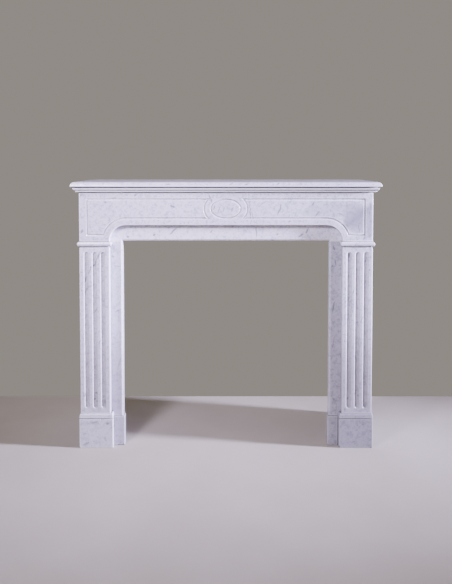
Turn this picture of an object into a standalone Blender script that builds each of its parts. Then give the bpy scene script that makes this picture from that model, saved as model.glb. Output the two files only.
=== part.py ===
"""White marble fireplace mantel: moulded shelf, grooved frieze, fluted jambs and inner slips.

Metres. +X runs to the right as seen from the room, +Y towards the wall and +Z up.
The origin lies on the floor under the middle of the mantel's box.
"""

import math

import bmesh
import bpy

# Whole mantel
MANTEL_HEIGHT = 1.103
SHELF_WIDTH = 1.264
SHELF_DEPTH = 0.380
SLAB = 0.025
BED = 0.0003
ARRIS = 0.002

# Shelf mouldings, from the top edge down
SHELF_OVERHANG = 0.030
NOSE_HEIGHT = 0.019
NOSE_ROUND = 0.020
NOSE_LIP = 0.0025
QUIRK_HEIGHT = 0.0045
QUIRK_DEPTH = 0.003
OVOLO_PROJECTION = 0.0217
OVOLO_HEIGHT = 0.0118
TORUS_PROJECTION = 0.0125
TORUS_HEIGHT = 0.0062
FILLET_PROJECTION = 0.001
FILLET_HEIGHT = 0.0028

# Frieze
FRIEZE_HEIGHT = 0.2007
ARCH_RADIUS = 0.067
ARCH_STEPS = 8
GROOVE_WIDTH = 0.010
GROOVE_DEPTH = 0.004
PANEL_TOP_MARGIN = 0.0277
PANEL_SIDE_MARGIN = 0.034
PANEL_FOOT_MARGIN = 0.027
PANEL_ARCH_MARGIN = 0.028
OVAL_HALF_WIDTH = 0.0608
OVAL_HALF_HEIGHT = 0.0386
OVAL_GAP = 0.028

# Jambs
JAMB_WIDTH = 0.124
BEAD_HEIGHT = 0.0195
BEAD_PROJECTION = 0.008
BEAD_LIP = 0.001
FLUTE_COUNT = 3
FLUTE_WIDTH = 0.0235
FLUTE_DEPTH = 0.008
FLUTE_FILLET = 0.0105
FLUTE_TOP_MARGIN = 0.041
FLUTE_FOOT_MARGIN = 0.020

# Plinths under the jambs
PLINTH_HEIGHT = 0.143
PLINTH_PROJECTION = 0.005
PLINTH_INNER_LEDGE = 0.006
PLINTH_OVOLO_HEIGHT = 0.0185
PLINTH_QUIRK_HEIGHT = 0.003
PLINTH_QUIRK_DEPTH = 0.003

# Inner slips around the opening: what shows of them beside the jambs and under the frieze
UPRIGHT_REVEAL = 0.0495
LINTEL_REVEAL = 0.067
SLIP_THICKNESS = 0.030
SLIP_CHAMFER = 0.006
SLIP_LAP = 0.030
SLIP_PLINTH_HEIGHT = 0.1245
SLIP_PLINTH_PROJECTION = 0.005

# Levels and planes worked out from the sizes above
SHELF_THICKNESS = NOSE_HEIGHT + QUIRK_HEIGHT + OVOLO_HEIGHT + TORUS_HEIGHT + FILLET_HEIGHT
SHELF_UNDERSIDE = MANTEL_HEIGHT - SHELF_THICKNESS
JAMB_TOP = SHELF_UNDERSIDE - FRIEZE_HEIGHT
WALL_Y = SHELF_DEPTH / 2
FACE_Y = SHELF_OVERHANG - SHELF_DEPTH / 2
SLAB_BACK_Y = FACE_Y + SLAB
SLIP_FACE_Y = SLAB_BACK_Y + BED
OUTER_X = SHELF_WIDTH / 2 - SHELF_OVERHANG
INNER_X = OUTER_X - JAMB_WIDTH
SLIP_OUTER_X = INNER_X + SLIP_LAP
OPENING_X = INNER_X - UPRIGHT_REVEAL
OPENING_TOP = JAMB_TOP + ARCH_RADIUS - LINTEL_REVEAL
LINTEL_TOP = JAMB_TOP + ARCH_RADIUS + SLIP_LAP

# Marble colours (red, green, blue) and polish
MARBLE = (0.80, 0.79, 0.83)
SHADED_MARBLE = (0.72, 0.71, 0.76)
POLISH = 0.32

# Steps of the rounded sections
MOULDING_STEPS = 4
CUTTER_SIDES = 16
DOME_STEPS = 4
OVAL_STEPS = 40
PANEL_END_STEPS = 8
CLEARANCE = 0.01


def clear_scene():
    """Remove whatever the scene already holds."""
    for item in list(bpy.data.objects):
        bpy.data.objects.remove(item, do_unlink=True)


def make_object(name, mesh_builder, colour=None):
    """Turn a bmesh into a named object, with a marble of its own when it has a colour."""
    bmesh.ops.recalc_face_normals(mesh_builder, faces=mesh_builder.faces)
    mesh = bpy.data.meshes.new(name)
    mesh_builder.to_mesh(mesh)
    mesh_builder.free()
    item = bpy.data.objects.new(name, mesh)
    bpy.context.scene.collection.objects.link(item)
    if colour:
        marble = bpy.data.materials.new(name + "_marble")
        marble.use_nodes = True
        shader = marble.node_tree.nodes["Principled BSDF"]
        shader.inputs["Base Color"].default_value = (*colour, 1.0)
        shader.inputs["Roughness"].default_value = POLISH
        shader.inputs["Metallic"].default_value = 0.0
        mesh.materials.append(marble)
    return item


def cut(item, cutter):
    """Carve the cutter out of the item and keep the cutter out of the render."""
    cutter.hide_render = True
    cutter.display_type = "WIRE"
    carving = item.modifiers.new(cutter.name, "BOOLEAN")
    carving.operation = "DIFFERENCE"
    carving.solver = "EXACT"
    carving.object = cutter


def arc(centre_out, centre_z, reach, rise, start, end, steps=MOULDING_STEPS):
    """Points of an elliptical arc in a section, from one angle to another in degrees."""
    points = []
    for step in range(steps + 1):
        angle = math.radians(start + (end - start) * step / steps)
        points.append((centre_out + reach * math.cos(angle), centre_z + rise * math.sin(angle)))
    return points


def span(side, near, far):
    """Low and high X of a stretch that lies on one side of the middle."""
    return tuple(sorted((side * near, side * far)))


def plan(x_span, y_front, y_back, out, faces, arris):
    """Plan of a block at one level: it steps out by `out` on its moulded faces."""
    left, front, right = faces
    x_low = x_span[0] - out * left
    x_high = x_span[1] + out * right
    y_low = y_front - out * front
    points = [(x_low, y_back)]
    if left:
        points += [(x_low, y_low + arris), (x_low + arris, y_low)]
    else:
        points += [(x_low, y_low)]
    if right:
        points += [(x_high - arris, y_low), (x_high, y_low + arris)]
    else:
        points += [(x_high, y_low)]
    points.append((x_high, y_back))
    return points


def moulded_block(name, x_span, y_front, y_back, section, faces, colour, arris=ARRIS):
    """Block whose moulded faces follow the section, a list of (out, z) from the foot up.

    faces says with 1 or 0 whether the left, front and right faces are moulded.
    The back stays flat.
    """
    builder = bmesh.new()
    rings = []
    for out, z in section:
        ring = [builder.verts.new((x, y, z)) for x, y in plan(x_span, y_front, y_back, out, faces, arris)]
        rings.append(ring)
    for lower, upper in zip(rings, rings[1:]):
        for index in range(len(lower) - 1):
            builder.faces.new((lower[index], lower[index + 1], upper[index + 1], upper[index]))
    builder.faces.new(rings[0])
    builder.faces.new(rings[-1])
    builder.faces.new([ring[0] for ring in rings] + [ring[-1] for ring in reversed(rings)])
    return make_object(name, builder, colour)


def prism(name, outline, y_front, y_back, colour=None):
    """Slab with an outline of (x, z) points, between two upright planes."""
    builder = bmesh.new()
    front = [builder.verts.new((x, y_front, z)) for x, z in outline]
    back = [builder.verts.new((x, y_back, z)) for x, z in outline]
    count = len(outline)
    for index in range(count):
        after = (index + 1) % count
        builder.faces.new((front[index], front[after], back[after], back[index]))
    builder.faces.new(front)
    builder.faces.new(back)
    return make_object(name, builder, colour)


def rectangle(x_span, z_low, z_high):
    """Corners of an upright rectangle."""
    return [(x_span[0], z_low), (x_span[1], z_low), (x_span[1], z_high), (x_span[0], z_high)]


def round_cut(width, depth):
    """Radius of the round tool that leaves a groove of this width and depth."""
    return (width * width / 4 + depth * depth) / (2 * depth)


def groove_cutter(name, path):
    """Round bar that follows a closed path of (x, z) points on the frieze's face."""
    radius = round_cut(GROOVE_WIDTH, GROOVE_DEPTH)
    axis_y = FACE_Y + GROOVE_DEPTH - radius
    builder = bmesh.new()
    count = len(path)
    rings = []
    for index, (x, z) in enumerate(path):
        before = path[index - 1]
        after = path[(index + 1) % count]
        incoming = unit(x - before[0], z - before[1])
        outgoing = unit(after[0] - x, after[1] - z)
        middle = unit(incoming[0] + outgoing[0], incoming[1] + outgoing[1])
        mitre = 1 / (middle[0] * outgoing[0] + middle[1] * outgoing[1])
        ring = []
        for side in range(CUTTER_SIDES):
            angle = math.tau * (side + 0.5) / CUTTER_SIDES
            sideways = radius * math.cos(angle) * mitre
            point = (x - middle[1] * sideways, axis_y + radius * math.sin(angle), z + middle[0] * sideways)
            ring.append(builder.verts.new(point))
        rings.append(ring)
    for index, ring in enumerate(rings):
        following = rings[(index + 1) % count]
        for side in range(CUTTER_SIDES):
            after = (side + 1) % CUTTER_SIDES
            builder.faces.new((ring[side], ring[after], following[after], following[side]))
    return make_object(name, builder)


def unit(x, z):
    """Direction of a step in the plane of the face."""
    length = math.hypot(x, z)
    return x / length, z / length


def flute_cutter(name, centres):
    """Round-ended bars that hollow one jamb's flutes."""
    radius = round_cut(FLUTE_WIDTH, FLUTE_DEPTH)
    axis_y = FACE_Y + FLUTE_DEPTH - radius
    z_low = PLINTH_HEIGHT + FLUTE_FOOT_MARGIN + FLUTE_WIDTH / 2
    z_high = JAMB_TOP - FLUTE_TOP_MARGIN - FLUTE_WIDTH / 2
    levels = arc(0, z_low, radius, radius, -90, 0, DOME_STEPS)
    levels += arc(0, z_high, radius, radius, 0, 90, DOME_STEPS)
    builder = bmesh.new()
    for x in centres:
        foot = builder.verts.new((x, axis_y, levels[0][1]))
        head = builder.verts.new((x, axis_y, levels[-1][1]))
        rings = []
        for reach, z in levels[1:-1]:
            ring = []
            for side in range(CUTTER_SIDES):
                angle = math.tau * (side + 0.5) / CUTTER_SIDES
                point = (x + reach * math.cos(angle), axis_y + reach * math.sin(angle), z)
                ring.append(builder.verts.new(point))
            rings.append(ring)
        for side in range(CUTTER_SIDES):
            after = (side + 1) % CUTTER_SIDES
            builder.faces.new((foot, rings[0][after], rings[0][side]))
            builder.faces.new((head, rings[-1][side], rings[-1][after]))
            for lower, upper in zip(rings, rings[1:]):
                builder.faces.new((lower[side], lower[after], upper[after], upper[side]))
    return make_object(name, builder)


def shelf_section():
    """Shelf edge from its underside up: fillet, torus, ovolo, dark quirk and rounded nose."""
    torus_foot = SHELF_UNDERSIDE + FILLET_HEIGHT
    ovolo_foot = torus_foot + TORUS_HEIGHT
    quirk_foot = ovolo_foot + OVOLO_HEIGHT
    nose_foot = quirk_foot + QUIRK_HEIGHT
    quirk_out = OVOLO_PROJECTION - QUIRK_DEPTH
    torus_half = TORUS_HEIGHT / 2
    section = [(FILLET_PROJECTION, SHELF_UNDERSIDE), (FILLET_PROJECTION, torus_foot)]
    section += arc(TORUS_PROJECTION - torus_half, torus_foot + torus_half, torus_half, torus_half, -90, 60)
    section += [(TORUS_PROJECTION - QUIRK_DEPTH, ovolo_foot)]
    section += arc(TORUS_PROJECTION, quirk_foot, OVOLO_PROJECTION - TORUS_PROJECTION, OVOLO_HEIGHT, -90, -15)
    section += [(quirk_out, quirk_foot), (quirk_out, nose_foot), (SHELF_OVERHANG - ARRIS, nose_foot)]
    section += arc(SHELF_OVERHANG - NOSE_ROUND, nose_foot + NOSE_LIP, NOSE_ROUND, NOSE_HEIGHT - NOSE_LIP,
                   0, 90, 2 * MOULDING_STEPS)
    return section


def jamb_section():
    """Side of a jamb from its foot up, with the half-round bead under its top."""
    bead_top = JAMB_TOP - BEAD_LIP
    half = BEAD_HEIGHT / 2
    section = [(0, PLINTH_HEIGHT + BED)]
    section += arc(0, bead_top - half, BEAD_PROJECTION, half, -90, 90, 2 * MOULDING_STEPS)
    section += [(0, JAMB_TOP)]
    return section


def plinth_section():
    """Side of a plinth from the floor up: plain block, quirk and an ovolo on top."""
    ovolo_foot = PLINTH_HEIGHT - PLINTH_OVOLO_HEIGHT
    quirk_foot = ovolo_foot - PLINTH_QUIRK_HEIGHT
    inset = PLINTH_PROJECTION - PLINTH_QUIRK_DEPTH
    section = [(PLINTH_PROJECTION, 0), (PLINTH_PROJECTION, quirk_foot - ARRIS / 2)]
    section += [(PLINTH_PROJECTION - ARRIS / 2, quirk_foot), (inset, quirk_foot), (inset, ovolo_foot)]
    section += arc(0, ovolo_foot, PLINTH_PROJECTION, PLINTH_OVOLO_HEIGHT, 0, 90)
    return section


def frieze_outline():
    """Face of the frieze: a straight underside that turns down to each jamb in a quarter round."""
    top = SHELF_UNDERSIDE - BED
    foot = JAMB_TOP + BED
    outline = [(-OUTER_X, foot), (-OUTER_X, top), (OUTER_X, top), (OUTER_X, foot)]
    for x, start, end in ((INNER_X - ARCH_RADIUS, 0, 90), (ARCH_RADIUS - INNER_X, 90, 180)):
        outline += arc(x, foot, ARCH_RADIUS, ARCH_RADIUS, start, end, ARCH_STEPS)
    return outline


def panel_levels():
    """Heights of a panel's top line, of the line over the underside and of its outer foot."""
    top = SHELF_UNDERSIDE - PANEL_TOP_MARGIN
    sill = JAMB_TOP + ARCH_RADIUS + PANEL_ARCH_MARGIN
    foot = JAMB_TOP + PANEL_FOOT_MARGIN
    return top, sill, foot


def oval_half_width_at(rise, half_width, half_height):
    """Half width of an oval at some height over its middle."""
    return half_width * math.sqrt(max(0.0, 1 - (rise / half_height) ** 2))


def panel_path(side):
    """Closed line of one panel: it follows the frieze's edge and bends around the oval."""
    top, sill, foot = panel_levels()
    middle = (top + sill) / 2
    half_width = OVAL_HALF_WIDTH + OVAL_GAP
    half_height = OVAL_HALF_HEIGHT + OVAL_GAP
    end = (top - sill) / 2
    points = []
    for step in range(PANEL_END_STEPS + 1):
        rise = -end + 2 * end * step / PANEL_END_STEPS
        points.append((oval_half_width_at(rise, half_width, half_height), middle + rise))
    points += [(OUTER_X - PANEL_SIDE_MARGIN, top), (OUTER_X - PANEL_SIDE_MARGIN, foot)]
    turn = ARCH_RADIUS + PANEL_ARCH_MARGIN
    start = math.degrees(math.asin(PANEL_FOOT_MARGIN / turn))
    points += arc(INNER_X - ARCH_RADIUS, JAMB_TOP, turn, turn, start, 90, ARCH_STEPS)
    return [(side * x, z) for x, z in points]


def oval_path():
    """Closed line of the oval in the middle of the frieze."""
    top, sill, _ = panel_levels()
    middle = (top + sill) / 2
    return arc(0, middle, OVAL_HALF_WIDTH, OVAL_HALF_HEIGHT, 0, 360, OVAL_STEPS)[:-1]


def build_shelf():
    """Moulded slab that caps the mantel."""
    moulded_block("shelf", (-OUTER_X, OUTER_X), FACE_Y, WALL_Y, shelf_section(), (1, 1, 1), MARBLE)


def build_frieze():
    """Front slab of the frieze with its two grooved panels and oval."""
    frieze = prism("frieze", frieze_outline(), FACE_Y, SLAB_BACK_Y, MARBLE)
    cut(frieze, groove_cutter("panel_groove_left", panel_path(-1)))
    cut(frieze, groove_cutter("panel_groove_right", panel_path(1)))
    cut(frieze, groove_cutter("oval_groove", oval_path()))


def build_frieze_return(side, word):
    """Plain slab that carries the frieze back to the wall."""
    x_span = span(side, OUTER_X - SLAB, OUTER_X)
    outline = rectangle(x_span, JAMB_TOP + BED, SHELF_UNDERSIDE - BED)
    prism("frieze_return_" + word, outline, SLIP_FACE_Y, WALL_Y, MARBLE)


def build_jamb(side, word):
    """Fluted front of one jamb and its return to the wall, both with the bead."""
    front = moulded_block("jamb_front_" + word, span(side, INNER_X, OUTER_X), FACE_Y, SLAB_BACK_Y,
                          jamb_section(), (1, 1, 1), MARBLE)
    middle = (INNER_X + OUTER_X) / 2
    pitch = FLUTE_WIDTH + FLUTE_FILLET
    centres = [side * (middle + pitch * (index - (FLUTE_COUNT - 1) / 2)) for index in range(FLUTE_COUNT)]
    cut(front, flute_cutter("flutes_" + word, centres))
    faces = (1, 0, 0) if side < 0 else (0, 0, 1)
    moulded_block("jamb_return_" + word, span(side, OUTER_X - SLAB, OUTER_X), SLIP_FACE_Y, WALL_Y,
                  jamb_section(), faces, MARBLE, 0)


def build_plinth(side, word):
    """Moulded block under one jamb's front, with a ledge inwards, and the like slab under its return."""
    reach = span(side, INNER_X - PLINTH_INNER_LEDGE, OUTER_X)
    moulded_block("plinth_front_" + word, reach, FACE_Y, SLAB_BACK_Y, plinth_section(), (1, 1, 1),
                  SHADED_MARBLE)
    faces = (1, 0, 0) if side < 0 else (0, 0, 1)
    moulded_block("plinth_return_" + word, span(side, OUTER_X - SLAB, OUTER_X), SLIP_FACE_Y, WALL_Y,
                  plinth_section(), faces, SHADED_MARBLE, 0)


def opening_cutter(name):
    """Tapered block that takes the chamfer off the arrises around the fireplace opening."""
    builder = bmesh.new()
    rings = []
    for grow in (SLIP_CHAMFER + CLEARANCE, -CLEARANCE / 2):
        y = SLIP_FACE_Y + SLIP_CHAMFER - grow
        corners = rectangle((-OPENING_X - grow, OPENING_X + grow), SLIP_PLINTH_HEIGHT - CLEARANCE,
                            OPENING_TOP + grow)
        rings.append([builder.verts.new((x, y, z)) for x, z in corners])
    near, deep = rings
    for index in range(len(near)):
        after = (index + 1) % len(near)
        builder.faces.new((near[index], near[after], deep[after], deep[index]))
    builder.faces.new(near)
    builder.faces.new(deep)
    return make_object(name, builder)


def build_slips():
    """Set-back slips around the opening: two uprights, the lintel on them and their plinths."""
    slip_back = SLIP_FACE_Y + SLIP_THICKNESS
    chamfer = opening_cutter("opening_chamfer")
    lintel_outline = rectangle((-SLIP_OUTER_X, SLIP_OUTER_X), OPENING_TOP, LINTEL_TOP)
    cut(prism("slip_lintel", lintel_outline, SLIP_FACE_Y, slip_back, MARBLE), chamfer)
    for side, word in ((-1, "left"), (1, "right")):
        upright = rectangle(span(side, OPENING_X, SLIP_OUTER_X), SLIP_PLINTH_HEIGHT + BED, OPENING_TOP - BED)
        cut(prism("slip_upright_" + word, upright, SLIP_FACE_Y, slip_back, SHADED_MARBLE), chamfer)
        plinth_side = INNER_X - PLINTH_INNER_LEDGE - PLINTH_PROJECTION
        plinth_reach = span(side, OPENING_X - SLIP_PLINTH_PROJECTION, plinth_side - BED)
        moulded_block("slip_plinth_" + word, plinth_reach, SLIP_FACE_Y - SLIP_PLINTH_PROJECTION, slip_back,
                      [(0, 0), (0, SLIP_PLINTH_HEIGHT)], (int(side > 0), 1, int(side < 0)), SHADED_MARBLE)


def build_mantel():
    """Build the whole mantel from the shelf down to the floor."""
    clear_scene()
    build_shelf()
    build_frieze()
    for side, word in ((-1, "left"), (1, "right")):
        build_frieze_return(side, word)
        build_jamb(side, word)
        build_plinth(side, word)
    build_slips()


build_mantel()
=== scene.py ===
"""Looks of the white marble fireplace mantel: carved slabs, veined marble, soft light.

Everything is in metres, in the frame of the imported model: +X right, +Y to the wall, +Z up.
"""

import math

import bmesh
import bpy
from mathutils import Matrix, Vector, noise


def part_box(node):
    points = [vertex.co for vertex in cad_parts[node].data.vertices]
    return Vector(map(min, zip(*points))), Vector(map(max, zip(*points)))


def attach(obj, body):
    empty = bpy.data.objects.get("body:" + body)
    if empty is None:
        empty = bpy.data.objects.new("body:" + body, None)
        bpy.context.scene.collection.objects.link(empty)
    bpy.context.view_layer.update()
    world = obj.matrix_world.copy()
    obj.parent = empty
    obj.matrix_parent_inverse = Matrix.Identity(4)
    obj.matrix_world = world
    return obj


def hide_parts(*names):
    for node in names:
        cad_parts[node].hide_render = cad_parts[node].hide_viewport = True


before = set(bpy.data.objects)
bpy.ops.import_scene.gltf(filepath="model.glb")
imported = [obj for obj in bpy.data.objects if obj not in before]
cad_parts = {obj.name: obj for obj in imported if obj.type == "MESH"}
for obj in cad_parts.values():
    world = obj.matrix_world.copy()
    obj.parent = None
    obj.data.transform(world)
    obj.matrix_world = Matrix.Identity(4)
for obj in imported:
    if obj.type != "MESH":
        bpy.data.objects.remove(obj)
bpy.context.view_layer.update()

# Places read from the frame
SHELF_LOW, SHELF_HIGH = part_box("shelf")
FRIEZE_LOW, FRIEZE_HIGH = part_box("frieze")
JAMB_LOW, JAMB_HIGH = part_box("jamb_front_right")
RETURN_LOW, RETURN_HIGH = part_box("jamb_return_right")
PLINTH_LOW, PLINTH_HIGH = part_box("plinth_front_right")

OUTER_X = FRIEZE_HIGH.x
FACE_Y = FRIEZE_LOW.y
SLAB_BACK_Y = FRIEZE_HIGH.y
RETURN_FRONT_Y = RETURN_LOW.y
WALL_Y = RETURN_HIGH.y
RETURN_INNER_X = RETURN_LOW.x
BEAD_PROJECTION = FACE_Y - JAMB_LOW.y
PLINTH_PROJECTION = FACE_Y - PLINTH_LOW.y
INNER_X = JAMB_LOW.x + BEAD_PROJECTION
SHELF_OVERHANG = SHELF_HIGH.x - OUTER_X

# Shelf mouldings, from the top edge down
NOSE_HEIGHT = 0.019
NOSE_ROUND = 0.020
NOSE_LIP = 0.0025
QUIRK_HEIGHT = 0.0045
QUIRK_DEPTH = 0.0075
OVOLO_PROJECTION = 0.0217
OVOLO_HEIGHT = 0.0118
TORUS_PROJECTION = 0.0125
TORUS_HEIGHT = 0.0062
FILLET_PROJECTION = -0.003
FILLET_HEIGHT = 0.0028

# Frieze carving
ARCH_RADIUS = 0.067
GROOVE_WIDTH = 0.010
GROOVE_DEPTH = 0.004
PANEL_TOP_MARGIN = 0.0274
PANEL_SIDE_MARGIN = 0.034
PANEL_FOOT_MARGIN = 0.027
PANEL_ARCH_MARGIN = 0.028
OVAL_HALF_WIDTH = 0.0608
OVAL_HALF_HEIGHT = 0.0386
OVAL_GAP = 0.028

# Jamb and plinth carving
BEAD_HEIGHT = 0.0195
BEAD_LIP = 0.001
BEAD_QUIRK_HEIGHT = 0.0065
BEAD_QUIRK_DEPTH = 0.0025
FLUTE_COUNT = 3
FLUTE_WIDTH = 0.0235
FLUTE_DEPTH = 0.008
FLUTE_PITCH = 0.034
FLUTE_TOP_MARGIN = 0.041
FLUTE_FOOT_MARGIN = 0.020
PLINTH_OVOLO_HEIGHT = 0.0185
PLINTH_QUIRK_HEIGHT = 0.003
PLINTH_QUIRK_DEPTH = 0.003
SLIP_CHAMFER = 0.006

# Softness of worked edges
FINE_ARRIS = 0.0007
SOFT_ARRIS = 0.0028
FLUTE_LIP_SHARE = 0.36
GROOVE_LIP_SHARE = 0.48
LIP_STEPS = 5
FLUTE_STEPS = 14
GROOVE_STEPS = 12
CORNER_STEPS = 5
ARC_STEPS = 14
DOME_STEPS = 18
OVAL_STEPS = 120
ARCH_STEPS = 36
SOFTEN_STEPS = 3
SOFTEN_FROM = math.radians(28)
WIDEST_TURN = 2.6
LEG_SHARE = 0.45
MITRE_LIMIT = 0.2
EASE_STEPS = 3
EASE_FROM = math.radians(20)
SHARP_ANGLE = math.radians(55)
NORMAL_WEIGHT = 90
FLAKE_ROUGHNESS = 0.28
FLAKE_LUMPS = 1.7
OVERCUT = 0.004


# Lines and sections

def arc(centre, radii, start, end, steps=ARC_STEPS):
    """Points of an elliptical arc from one angle to another, in degrees."""
    points = []
    for step in range(steps + 1):
        angle = math.radians(start + (end - start) * step / steps)
        points.append((centre[0] + radii[0] * math.cos(angle), centre[1] + radii[1] * math.sin(angle)))
    return points


def soften(line, radius):
    """Round every real corner of an open line, as rubbing down does."""
    result = [line[0]]
    for before, corner, after in zip(line, line[1:], line[2:]):
        corner = Vector(corner)
        back = Vector(before) - corner
        ahead = Vector(after) - corner
        turn = math.pi - back.angle(ahead)
        if turn < SOFTEN_FROM:
            result.append(tuple(corner))
            continue
        wanted = radius * math.tan(min(turn, WIDEST_TURN) / 2)
        reach = min(wanted, LEG_SHARE * back.length, LEG_SHARE * ahead.length)
        start = corner + back.normalized() * reach
        finish = corner + ahead.normalized() * reach
        for step in range(SOFTEN_STEPS + 1):
            part = step / SOFTEN_STEPS
            point = start * (1 - part) ** 2 + corner * 2 * part * (1 - part) + finish * part ** 2
            result.append(tuple(point))
    result.append(line[-1])
    return result


def offset_loop(path, distance):
    """Closed path moved sideways, to the left of its travel, with mitred corners."""
    moved = []
    count = len(path)
    for index in range(count):
        here = Vector(path[index])
        incoming = (here - Vector(path[index - 1])).normalized()
        outgoing = (Vector(path[(index + 1) % count]) - here).normalized()
        middle = (incoming + outgoing).normalized()
        side = Vector((-middle.y, middle.x))
        moved.append(tuple(here + side * (distance / max(MITRE_LIMIT, middle.dot(outgoing)))))
    return moved


def hollow_section(half_width, depth, steps, lip_share):
    """Hollow from its left lip to its right lip as (across, depth): rubbed lips into a round bottom."""
    slope = 2 * math.atan(depth / half_width)
    radii = half_width / math.sin(slope)
    lip = lip_share * radii
    bottom = radii - lip
    left = []
    for step in range(LIP_STEPS + 1):
        angle = slope * step / LIP_STEPS
        left.append((-half_width + lip * math.sin(angle), lip * (1 - math.cos(angle))))
    for step in range(1, steps // 2 + 1):
        angle = slope * (1 - 2 * step / steps)
        left.append((-bottom * math.sin(angle), depth - bottom * (1 - math.cos(angle))))
    return left + [(-across, down) for across, down in reversed(left[:-1])]


# Mesh building

def ring_of(builder, points):
    """One vertex for every point."""
    return [builder.verts.new(point) for point in points]


def join_rings(builder, first, second):
    """Quads between two closed rings with the same number of vertices."""
    for index in range(len(first)):
        after = (index + 1) % len(first)
        builder.faces.new((first[index], first[after], second[after], second[index]))


def ring_edges(builder, ring):
    """The edges around a closed ring, made where they are missing."""
    edges = []
    for index, vertex in enumerate(ring):
        other = ring[(index + 1) % len(ring)]
        edges.append(builder.edges.get((vertex, other)) or builder.edges.new((vertex, other)))
    return edges


def fill_flat(builder, rings):
    """Flat face between an outer ring and the rings of its holes."""
    edges = []
    for ring in rings:
        edges += ring_edges(builder, ring)
    bmesh.ops.triangle_fill(builder, use_beauty=True, use_dissolve=False, edges=edges)


def plan_line(x_span, y_front, y_back, out, faces, radius):
    """Plan of a block at one level, from its back left corner round the front to its back right."""
    left, front, right = faces
    x_low = x_span[0] - out * left
    x_high = x_span[1] + out * right
    y_low = y_front - out * front
    points = [(x_low, y_back)]
    if left:
        points += arc((x_low + radius, y_low + radius), (radius, radius), 180, 270, CORNER_STEPS)
    else:
        points.append((x_low, y_low))
    if right:
        points += arc((x_high - radius, y_low + radius), (radius, radius), 270, 360, CORNER_STEPS)
    else:
        points.append((x_high, y_low))
    points.append((x_high, y_back))
    return points


def moulded_shell(x_span, y_front, y_back, section, faces, radius, hollows=()):
    """Block whose left, front and right faces follow a section of (out, z) points, foot first.

    hollows are rings of (x, z, depth) points that are sunk into its tallest front face.
    """
    builder = bmesh.new()
    rings = []
    for out, z in section:
        plan = plan_line(x_span, y_front, y_back, out, faces, radius)
        rings.append(ring_of(builder, [(x, y, z) for x, y in plan]))
    rises = [upper[1] - lower[1] for lower, upper in zip(section, section[1:])]
    tallest = rises.index(max(rises))
    front = len(rings[0]) // 2 - 1
    for level, (lower, upper) in enumerate(zip(rings, rings[1:])):
        for index in range(len(lower) - 1):
            if hollows and level == tallest and index == front:
                face = (lower[index], lower[index + 1], upper[index + 1], upper[index])
                fill_around_hollows(builder, face, y_front, hollows)
            else:
                builder.faces.new((lower[index], lower[index + 1], upper[index + 1], upper[index]))
    builder.faces.new(rings[0])
    builder.faces.new(rings[-1])
    fill_flat(builder, [[ring[0] for ring in rings] + [ring[-1] for ring in reversed(rings)]])
    return builder


def fill_around_hollows(builder, face, y_front, hollows):
    """Flat front with hollows: each is a list of rings that go down to its bottom."""
    lips = []
    for hollow in hollows:
        rings = [ring_of(builder, [(x, y_front + depth, z) for x, z, depth in ring]) for ring in hollow]
        for outer, inner in zip(rings, rings[1:]):
            join_rings(builder, outer, inner)
        builder.faces.new(rings[-1])
        lips.append(rings[0])
    fill_flat(builder, [list(face)] + lips)


def flute_rings(centre_x, z_low, z_high):
    """Rings of one flute with domed ends, from its lip down to its bottom."""
    half = FLUTE_WIDTH / 2
    section = hollow_section(half, FLUTE_DEPTH, FLUTE_STEPS, FLUTE_LIP_SHARE)
    rings = []
    for across, depth in section[:len(section) // 2]:
        reach = -across
        line = arc((centre_x, z_high - half), (reach, reach), 0, 180, DOME_STEPS)
        line += arc((centre_x, z_low + half), (reach, reach), 180, 360, DOME_STEPS)
        rings.append([(x, z, depth) for x, z in line])
    return rings


# Finishing a piece

def settle(name, builder, node, marble, chips=()):
    """Turn a mesh into the piece that stands for a node of the frame."""
    bmesh.ops.recalc_face_normals(builder, faces=builder.faces)
    mesh = bpy.data.meshes.new(name)
    builder.to_mesh(mesh)
    builder.free()
    piece = bpy.data.objects.new(name, mesh)
    bpy.context.scene.collection.objects.link(piece)
    if chips:
        knock_off(piece, chips)
    piece.data.shade_smooth()
    piece.data.set_sharp_from_angle(angle=SHARP_ANGLE)
    piece.data.materials.clear()
    piece.data.materials.append(marble)
    weighting = piece.modifiers.new("even_normals", "WEIGHTED_NORMAL")
    weighting.keep_sharp = True
    weighting.weight = NORMAL_WEIGHT
    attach(piece, "root")
    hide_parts(node)


def apply_modifiers(piece):
    """Keep the evaluated mesh and drop the modifiers."""
    graph = bpy.context.evaluated_depsgraph_get()
    mesh = bpy.data.meshes.new_from_object(piece.evaluated_get(graph))
    piece.modifiers.clear()
    piece.data = mesh


def knock_off(piece, chips):
    """Small flakes off the edges. A chip is (place, size, seed)."""
    builder = bmesh.new()
    for place, size, seed in chips:
        made = bmesh.ops.create_icosphere(builder, subdivisions=3, radius=1)
        for vertex in made["verts"]:
            rough = 1 + FLAKE_ROUGHNESS * noise.noise(vertex.co * FLAKE_LUMPS + Vector((seed, 2 * seed, 0)))
            local = vertex.co * rough
            vertex.co = Vector([place[axis] + local[axis] * size[axis] for axis in range(3)])
    mesh = bpy.data.meshes.new("flakes")
    builder.to_mesh(mesh)
    builder.free()
    flakes = bpy.data.objects.new("flakes", mesh)
    bpy.context.scene.collection.objects.link(flakes)
    knock = piece.modifiers.new("flakes", "BOOLEAN")
    knock.operation = "DIFFERENCE"
    knock.solver = "EXACT"
    knock.use_self = True
    knock.object = flakes
    apply_modifiers(piece)
    bpy.data.objects.remove(flakes)


def block(low, high):
    """Plain block as a bmesh, to be cut and eased."""
    builder = bmesh.new()
    bmesh.ops.create_cube(builder, size=1)
    for vertex in builder.verts:
        shares = [vertex.co[axis] + 0.5 for axis in range(3)]
        vertex.co = Vector([low[axis] + shares[axis] * (high[axis] - low[axis]) for axis in range(3)])
    return builder


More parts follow.
